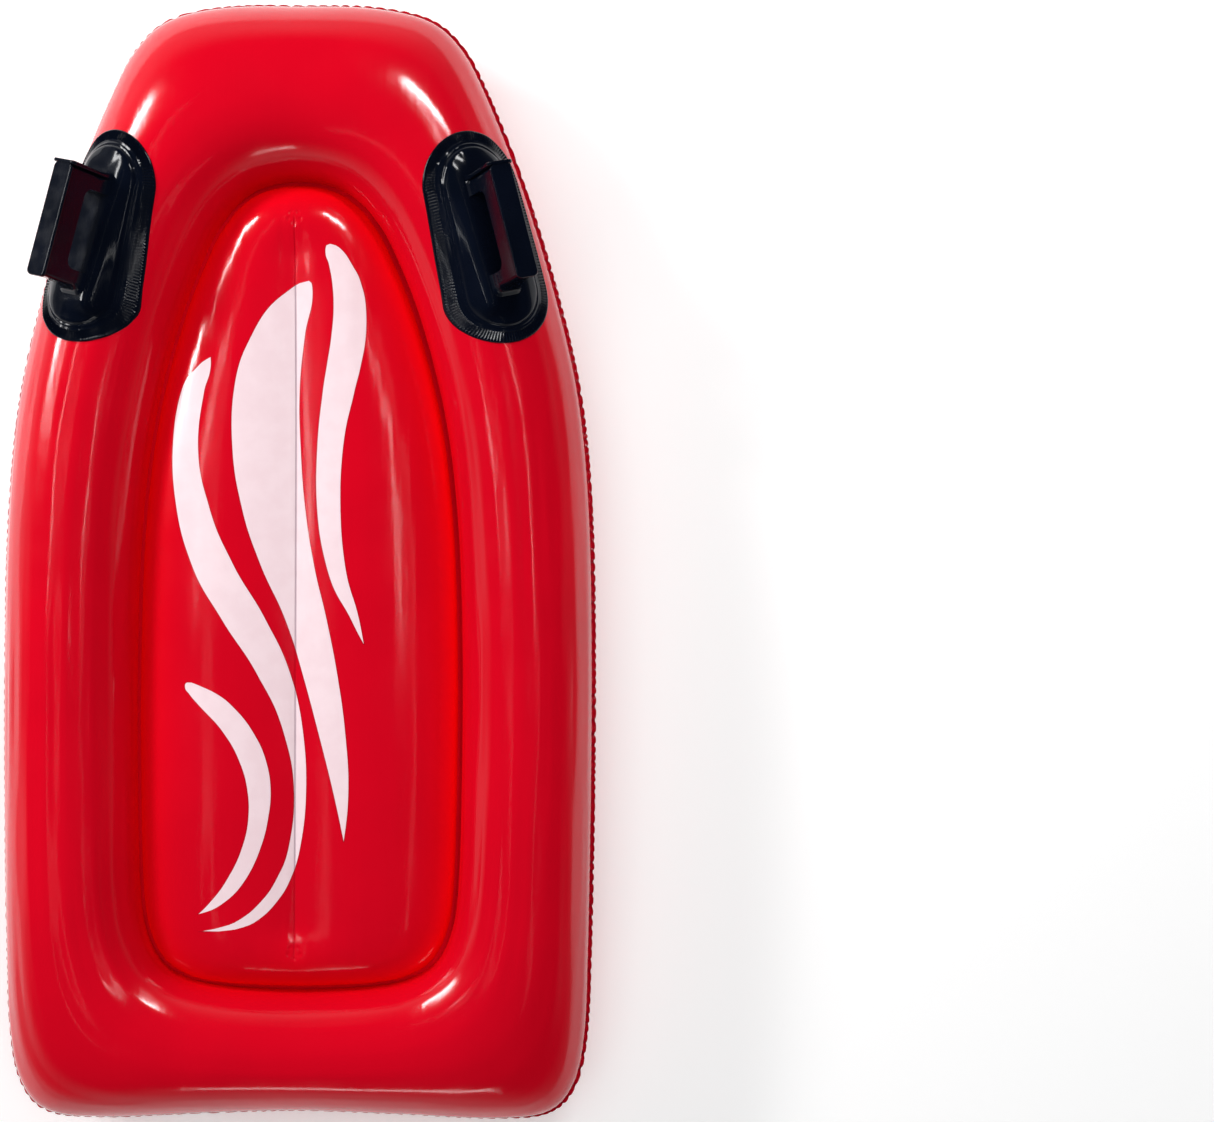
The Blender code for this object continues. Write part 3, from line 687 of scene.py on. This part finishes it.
def make_film(name, side, node, material, valves=()):
    rings, outer_count = film_rings(side)
    points = np.concatenate(rings.points)
    for place in valves:
        points = flatten_at(points, outer_count, place)
    points[:, 2] = np.maximum(points[:, 2], 0.0)  # where a ripple would dip into the floor
    rings.points = [points]
    film = rings.build(name)
    shade = np.zeros(len(points))
    known = np.concatenate(rings.shade)
    shade[: len(known)] = known
    # the painted glow and shade, with the lip's darker double film, for the film's material
    film.data.attributes.new("weld", "FLOAT", "POINT").data.foreach_set("value", shade)
    face_out(film)
    for place in valves:
        hole = lathe("hole", [(0.0, 0.004), (HOLE_R, 0.004), (HOLE_R, -0.010), (0.0, -0.010)], place, 96)
        cut(film, hole, solver="MANIFOLD")
    finish_piece(film, node, material)
    return film


# The handles


def handle_frame(side):
    """The handle's place: local X along it towards the nose, and local Z out of the deck."""
    turn = math.radians(-side * HANDLE_TURN)
    heading = Vector((math.sin(turn), math.cos(turn), 0.0))
    normal = Matrix.Rotation(math.radians(side * HANDLE_TILT), 3, heading) @ Vector((0.0, 0.0, 1.0))
    along = (heading - normal * heading.dot(normal)).normalized()
    place = Matrix((along, normal.cross(along), normal)).transposed().to_4x4()
    place.translation = (side * HANDLE_AT[0], HANDLE_AT[1], HANDLE_Z)
    return place


def stadium(inward, count):
    """count points round the patch, inward metres in from its edge. Each keeps its place round it."""
    radius, half = PATCH_WIDTH / 2, (PATCH_LENGTH - PATCH_WIDTH) / 2
    arc, run = math.pi * radius, 2.0 * half
    at = (np.arange(count) / count) * 2.0 * (arc + run)
    second = at >= arc + run
    at = np.where(second, at - arc - run, at)
    angle = np.minimum(at / arc, 1.0) * math.pi - math.pi / 2
    centre = half - np.clip(at - arc, 0.0, run)
    reach = radius - inward
    x, y = centre + reach * np.cos(angle), reach * np.sin(angle)
    flip = np.where(second, -1.0, 1.0)
    return np.stack([x * flip, y * flip], axis=1)


def drop(tree, place, flat):
    """How far the deck lies above the handle's plane at each local point."""
    down, inverse = -place.col[2].to_3d(), place.inverted()
    heights = []
    for x, y in flat.tolist():
        hit = tree.ray_cast(place @ Vector((x, y, 0.05)), down)[0]
        heights.append((inverse @ hit).z)
    return np.array(heights)


def patch_top(flat, deck, inward, height):
    """The patch's upper face: on the deck at its border, and level under the grip."""
    fade = 1.0 - smoothstep(0.003, 0.018, np.abs(flat[:, 1]) - GRIP_WIDTH / 2)
    fade = fade * (1.0 - smoothstep(0.006, 0.022, np.abs(flat[:, 0]) - GRIP_LENGTH / 2))
    fade = fade * smoothstep(0.010, 0.022, inward)
    follow = deck + height
    return follow + (SEAT_HEIGHT - follow) * fade


def make_patch(name, place, tree, node, material):
    """The handle's base: a ribbed weld border, a ridge, and a raised middle with a level seat."""
    rings = Rings()
    below = stadium(0.0, RIB_POINTS * PATCH_RIBS)
    rings.add(stack(below, drop(tree, place, below) + CLEARANCE))
    for inward, height in PATCH_PROFILE:
        ribbed = RIB_SPAN[0] < inward < RIB_SPAN[1]
        count = RIB_POINTS * PATCH_RIBS if inward < RIB_SPAN[1] + 0.0005 else PATCH_RIBS
        flat = stadium(inward, count)
        rise = np.full(count, height)
        if ribbed:
            rise -= RIB_DEPTH * (0.5 - 0.5 * np.cos(2.0 * math.pi * np.arange(count) / RIB_POINTS))
        rings.add(stack(flat, patch_top(flat, drop(tree, place, flat), inward, rise)))
    top = rings.rings[-1]
    rings.rings = [rings.rings[0]]  # the underside starts again from the edge
    for inward in PATCH_UNDERSIDE:
        flat = stadium(inward, PATCH_RIBS)
        rings.add(stack(flat, drop(tree, place, flat) + CLEARANCE))
    for ring in (top, rings.rings[-1]):
        rings.faces.append(tuple(ring.tolist()))
    patch = rings.build(name, 32.0)
    patch.data.transform(place)
    face_out(patch)
    return finish_piece(patch, node, material)


def rounded_box(low_x, high_x, half_y, radius, steps=5):
    """Points round a rectangle with round corners, counter-clockwise."""
    points = []
    corners = ((high_x, half_y, 0), (low_x, half_y, 1), (low_x, -half_y, 2), (high_x, -half_y, 3))
    for x, y, quarter in corners:
        cx = x - math.copysign(radius, x - (low_x + high_x) / 2)
        cy = y - math.copysign(radius, y)
        for k in range(steps + 1):
            a = math.pi / 2 * (quarter + k / steps)
            points.append((cx + radius * math.cos(a), cy + radius * math.sin(a)))
    return np.array(points)


def loft(name, rows):
    """A closed solid through rounded rectangles: rows of (height, low x, high x, half y, corner radius)."""
    rings = Rings()
    for height, low_x, high_x, half_y, radius in rows:
        flat = rounded_box(low_x, high_x, half_y, radius)
        rings.add(stack(flat, np.full(len(flat), height)))
    for ring in (rings.rings[0], rings.rings[-1]):
        rings.faces.append(tuple(ring.tolist()))
    solid = rings.build(name)
    face_out(solid)
    return solid


def make_grip(name, place, node, material):
    """A bridge over the fingers: recessed sides under a wider top, flared feet and an end plate."""
    half, top = GRIP_LENGTH / 2, GRIP_HEIGHT
    foot, head, body = GRIP_WIDTH / 2, 0.0088, half - 0.0030
    grip = loft(name, (
        (0.0000, -body - 0.0060, body + 0.0050, foot + 0.0020, 0.0070),
        (0.0008, -body - 0.0058, body + 0.0048, foot + 0.0018, 0.0070),
        (0.0022, -body - 0.0040, body + 0.0032, foot + 0.0008, 0.0064),
        (0.0050, -body - 0.0018, body + 0.0014, foot - 0.0002, 0.0056),
        (0.0110, -body - 0.0002, body + 0.0004, foot - 0.0008, 0.0050),
        (top - 0.0052, -body + 0.0010, body, head, 0.0040),
        (top - 0.0044, -body + 0.0010, body, head + 0.0001, 0.0040),
        (top - 0.0038, -body - 0.0002, body, head + 0.0011, 0.0044),
        (top - 0.0030, -body - 0.0006, body, head + 0.0014, 0.0046),
        (top - 0.0014, -body - 0.0006, body, head + 0.0014, 0.0046),
        (top - 0.0005, -body - 0.0001, body, head + 0.0010, 0.0042),
        (top, -body + 0.0010, body, head, 0.0034),
    ))
    plate = loft(name + "_plate", (
        (0.0006, body - 0.0006, half + 0.0024, foot + 0.0022, 0.0012),
        (0.0040, body - 0.0006, half + 0.0010, foot + 0.0014, 0.0012),
        (0.0120, body - 0.0006, half - 0.0002, foot + 0.0009, 0.0012),
        (top - 0.0040, body - 0.0006, half - 0.0002, head + 0.0032, 0.0012),
        (top - 0.0006, body - 0.0006, half - 0.0002, head + 0.0028, 0.0012),
        (top + 0.0008, body - 0.0002, half - 0.0006, head + 0.0016, 0.0010),
        (top + 0.0012, body + 0.0006, half - 0.0012, head + 0.0002, 0.0006),
    ))
    cut(grip, plate, "UNION")
    inner, gap_half, bar = half - 0.0170, 0.0330, 0.0230
    gap = loft(name + "_gap", [(z, -inner, inner, gap_half, 0.0080) for z in (-0.030, 0.030)])
    lowered = Matrix.Translation((0.0, 0.0, top - bar - gap_half))
    gap.data.transform(lowered @ Matrix.Rotation(math.pi / 2, 4, "X"))
    cut(grip, gap)
    bevel = grip.modifiers.new("edges", "BEVEL")
    bevel.width = 0.0009
    bevel.segments = 3
    bevel.limit_method = "ANGLE"
    bevel.angle_limit = math.radians(48.0)
    shading = grip.modifiers.new("shading", "WEIGHTED_NORMAL")
    shading.keep_sharp = True
    apply_modifiers(grip)
    grip.data.transform(place @ Matrix.Translation((0.0, 0.0, SEAT_HEIGHT)))
    return finish_piece(grip, node, material)


# The valves


def valve_frame(joints, name):
    """A valve's place: local Z out of the board along its pull, and local X towards its plug's hinge."""
    pull, hinge = joints[name + "_pull"], joints[name + "_plug_hinge"]
    out, across = Vector(pull["axis"]), Vector(hinge["axis"])
    place = Matrix((across.cross(out), across, out)).transposed().to_4x4()
    from_origin = Vector((HINGE_REACH, 0.0, -RIM_SUNK + GAP + HINGE_R))
    place.translation = Vector(hinge["pos_m"]) - place.to_3x3() @ from_origin
    return place


def lathe(name, profile, place, count=128, ripple=None):
    """A shape turned round local Z from a closed profile of (radius, height) points."""
    rings = Rings()
    angle = 2.0 * np.pi * np.arange(count) / count
    for radius, height in profile:
        if radius == 0.0:
            rings.add(np.array([[0.0, 0.0, height]]))
            continue
        lift = height if ripple is None else height + ripple(radius, height, angle)
        ring = np.column_stack([radius * np.cos(angle), radius * np.sin(angle), np.full(count, 0.0) + lift])
        rings.add(ring)
    if profile[0][0] > 0.0:
        rings.join(rings.rings[-1], rings.rings[0])
    solid = rings.build(name, 36.0)
    solid.data.transform(place)
    face_out(solid)
    return solid


def rounded(profile, radius=0.0003, steps=3):
    """A closed profile with each of its corners off the axis cut round."""
    points, result = [Vector(p) for p in profile], []
    for k, corner in enumerate(points):
        if corner.x == 0.0:
            result.append(tuple(corner))
            continue
        before = points[k - 1] - corner
        after = points[(k + 1) % len(points)] - corner
        size = min(radius, 0.45 * before.length, 0.45 * after.length)
        start, end = corner + before.normalized() * size, corner + after.normalized() * size
        for i in range(steps + 1):
            t = i / steps
            result.append(tuple(start.lerp(corner, t).lerp(corner.lerp(end, t), t)))
    return result


def weld_ribs(radius, height, angle):
    """Fine ribs on the top of the disc's welded border."""
    on_border = smoothstep(MOUTH_R + 0.0010, MOUTH_R + 0.0016, radius)
    on_border = on_border * (1.0 - smoothstep(DISC_R - 0.0009, DISC_R - 0.0004, radius))
    ribs = np.cos(WELD_RIB_COUNT * angle) - 1.0
    return WELD_RIB_DEPTH / 2 * float(on_border) * (height > -0.0003) * ribs


def make_valve(name, place, material):
    throat_end = -THROAT_DEPTH - THROAT_LENGTH
    base = [
        (MOUTH_R + 0.0002, -0.0007), (MOUTH_R - 0.0001, -0.0001), (MOUTH_R + 0.0004, 0.0),
        (MOUTH_R + 0.0011, 0.0), (MOUTH_R + 0.0018, 0.0), (MOUTH_R + 0.0030, 0.0),
        (MOUTH_R + 0.0045, 0.0), (DISC_R - 0.0008, 0.0), (DISC_R - 0.0003, -0.0001),
        (DISC_R, -0.0004), (DISC_R, -VALVE_WALL), (MOUTH_R + FUNNEL_WALL, -VALVE_WALL),
        (THROAT_R + FUNNEL_WALL, -THROAT_DEPTH + 0.0006), (THROAT_R + FUNNEL_WALL, throat_end),
        (THROAT_R, throat_end), (THROAT_R, -THROAT_DEPTH), (THROAT_R + 0.0005, -THROAT_DEPTH + 0.0007),
    ]
    disc = lathe(name + "_disc", base, place, 192, weld_ribs)
    finish_piece(disc, name + "_base", material)
    rim_low, low = -RIM_SUNK - RIM_THICK, -RIM_SUNK - STEM_LENGTH
    stem = rounded([
        (BORE_R, -RIM_SUNK), (RIM_R, -RIM_SUNK), (RIM_R, rim_low), (STEM_R, rim_low),
        (STEM_R, low + 0.004), (STEM_R + 0.0002, low + 0.0035), (STEM_R, low + 0.003),
        (STEM_R, low), (BORE_R, low),
    ])
    tube = lathe(name + "_tube", stem, place, 96)
    finish_piece(tube, name + "_stem", material, name + "_stem")
    seat = place @ Matrix.Translation((0.0, 0.0, -RIM_SUNK + GAP))
    dished = PLUG_HEAD_THICK - 0.0006
    stopper = rounded([
        (0.0, dished), (0.0044, dished), (0.0050, PLUG_HEAD_THICK), (RIM_R, PLUG_HEAD_THICK),
        (RIM_R, 0.0), (PLUG_TOP_R, 0.0), (PLUG_TIP_R, -PLUG_DEPTH), (0.0, -PLUG_DEPTH),
    ], radius=0.0005)
    plug = lathe(name + "_stopper", stopper, Matrix.Identity(4), 96)
    ear = loft(name + "_ear", [
        (HINGE_R - EAR_THICK / 2, PLUG_TOP_R + 0.001, HINGE_REACH, EAR_WIDTH / 2, 0.0004),
        (HINGE_R + EAR_THICK / 2, PLUG_TOP_R + 0.001, HINGE_REACH, EAR_WIDTH / 2, 0.0004),
    ])
    cut(plug, ear, "UNION")
    lying = Matrix.Translation((HINGE_REACH, 0.0, HINGE_R)) @ Matrix.Rotation(math.pi / 2, 4, "X")
    span = (EAR_WIDTH + EAR_THICK) / 2
    barrel = rounded([(0.0, span), (HINGE_R, span), (HINGE_R, -span), (0.0, -span)])
    cut(plug, lathe(name + "_barrel", barrel, lying, 24), "UNION")
    plug.data.transform(seat)
    plug.data.shade_smooth()
    plug.data.set_sharp_from_angle(angle=math.radians(36.0))
    finish_piece(plug, name + "_plug", material, name + "_plug")


# The stage


def add_area(name, azimuth, elevation, distance, size, power, centre=(0.0, 0.0, 0.06), glossy=True):
    """A soft light at a bearing from the board, in degrees, which the camera doesn't see."""
    a, e = math.radians(azimuth), math.radians(elevation)
    away = Vector((math.cos(e) * math.cos(a), math.cos(e) * math.sin(a), math.sin(e)))
    light = bpy.data.lights.new(name, "AREA")
    light.shape = "RECTANGLE"
    light.size, light.size_y = size
    light.energy = power
    obj = link_object(name, light)
    obj.location = Vector(centre) + away * distance
    obj.rotation_euler = away.to_track_quat("Z", "Y").to_euler()
    obj.visible_camera = False
    obj.visible_glossy = glossy
    light.cycles.use_multiple_importance_sampling = glossy  # or part of a hidden reflection still shows


def set_stage():
    floor_mesh = bpy.data.meshes.new("floor")
    bm = bmesh.new()
    bmesh.ops.create_circle(bm, cap_ends=True, segments=96, radius=14.0)
    bm.to_mesh(floor_mesh)
    bm.free()
    floor = link_object("floor", floor_mesh)
    floor.location.z = -0.0005
    nodes = Nodes("pale_floor", (0.90, 0.90, 0.90), 0.9)
    nodes.set("Specular IOR Level", 0.1)
    nodes.set("Emission Color", (1.0, 1.0, 1.0, 1.0))
    nodes.set("Emission Strength", 0.24)
    floor.data.materials.append(nodes.material)

    world = bpy.data.worlds.new("studio")
    world.use_nodes = True
    bpy.context.scene.world = world
    tree = world.node_tree
    place = tree.nodes.new("ShaderNodeTexCoord")
    split = tree.nodes.new("ShaderNodeSeparateXYZ")
    fade = tree.nodes.new("ShaderNodeMapRange")
    fade.interpolation_type = "SMOOTHSTEP"
    for key, value in (("From Min", 0.0), ("From Max", 0.48), ("To Min", 0.60), ("To Max", 0.010)):
        fade.inputs[key].default_value = value
    tree.links.new(place.outputs["Generated"], split.inputs[0])
    tree.links.new(split.outputs["Z"], fade.inputs["Value"])
    dim = tree.nodes.new("ShaderNodeMapRange")
    dim.interpolation_type = "SMOOTHSTEP"
    for key, value in (("From Min", 0.1), ("From Max", 0.8), ("To Min", 1.0), ("To Max", 0.30)):
        dim.inputs[key].default_value = value
    tree.links.new(split.outputs["X"], dim.inputs["Value"])
    strength = tree.nodes.new("ShaderNodeMath")
    strength.operation = "MULTIPLY"
    tree.links.new(fade.outputs[0], strength.inputs[0])
    tree.links.new(dim.outputs[0], strength.inputs[1])
    tree.links.new(strength.outputs[0], tree.nodes["Background"].inputs["Strength"])
    tree.nodes["Background"].inputs["Color"].default_value = (0.97, 0.98, 1.0, 1.0)

    add_area("overhead", 90.0, 89.0, 3.2, (3.6, 3.6), 66.0, glossy=False)
    add_area("window_left", 150.0, 28.0, 2.2, (1.10, 0.28), 34.0)
    add_area("window_right", 61.0, 41.0, 2.2, (0.62, 0.19), 15.5)
    add_area("strip_left", 180.0, 58.0, 2.6, (0.50, 0.03), 1.10, centre=(0.0, 0.22, 0.06))
    add_area("strip_right", 0.0, 72.0, 2.6, (0.60, 0.03), 1.20, centre=(0.0, 0.18, 0.06))
    add_area("long_strip_left", 180.0, 66.0, 2.6, (2.6, 0.03), 0.5)
    add_area("long_strip_right", 0.0, 64.0, 2.6, (2.6, 0.03), 0.5)
    add_area("low_back", -90.0, 22.0, 2.4, (1.0, 0.12), 3.0)
    bpy.context.scene.view_settings.view_transform = "Standard"
    bpy.context.scene.view_settings.look = "None"


def set_camera():
    """Looking straight down from 1.8 m, to the right of the board's middle."""
    data = bpy.data.cameras.new("camera")
    data.sensor_width = 36.0
    data.lens = 57.5
    data.clip_start = 0.05
    camera = link_object("camera", data)
    camera.location = (0.275, 0.0025, 1.8)
    camera.rotation_euler = (0.0, 0.0, math.radians(0.2))
    bpy.context.scene.camera = camera


def main():
    deck_red = film_material("printed_red_film", True)
    hull_red = film_material("red_film", False)
    black = vinyl_material("black_vinyl_gloss")
    milky = valve_material("milky_valve_vinyl")
    deck = make_film("upper_film", 1, "deck_sheet", deck_red)
    joints = {joint["name"]: joint for joint in frame["joints"]}
    places = {name: valve_frame(joints, name) for name in ("ring_valve", "pad_valve")}
    make_film("lower_film", -1, "hull_sheet", hull_red, places.values())
    for name, place in places.items():
        make_valve(name, place, milky)
    bpy.context.view_layer.update()
    tree = BVHTree.FromObject(deck, bpy.context.evaluated_depsgraph_get())
    for word, side in (("left", -1), ("right", 1)):
        place = handle_frame(side)
        make_patch(f"{word}_patch", place, tree, f"{word}_handle_patch", black)
        make_grip(f"{word}_grip", place, f"{word}_handle_grip", black)
    for name, node in frame["nodes"].items():
        material = hull_red if name == "centre_web" else milky if "valve" in name else black
        node.data.materials.clear()
        node.data.materials.append(material)
    set_stage()
    set_camera()


main()
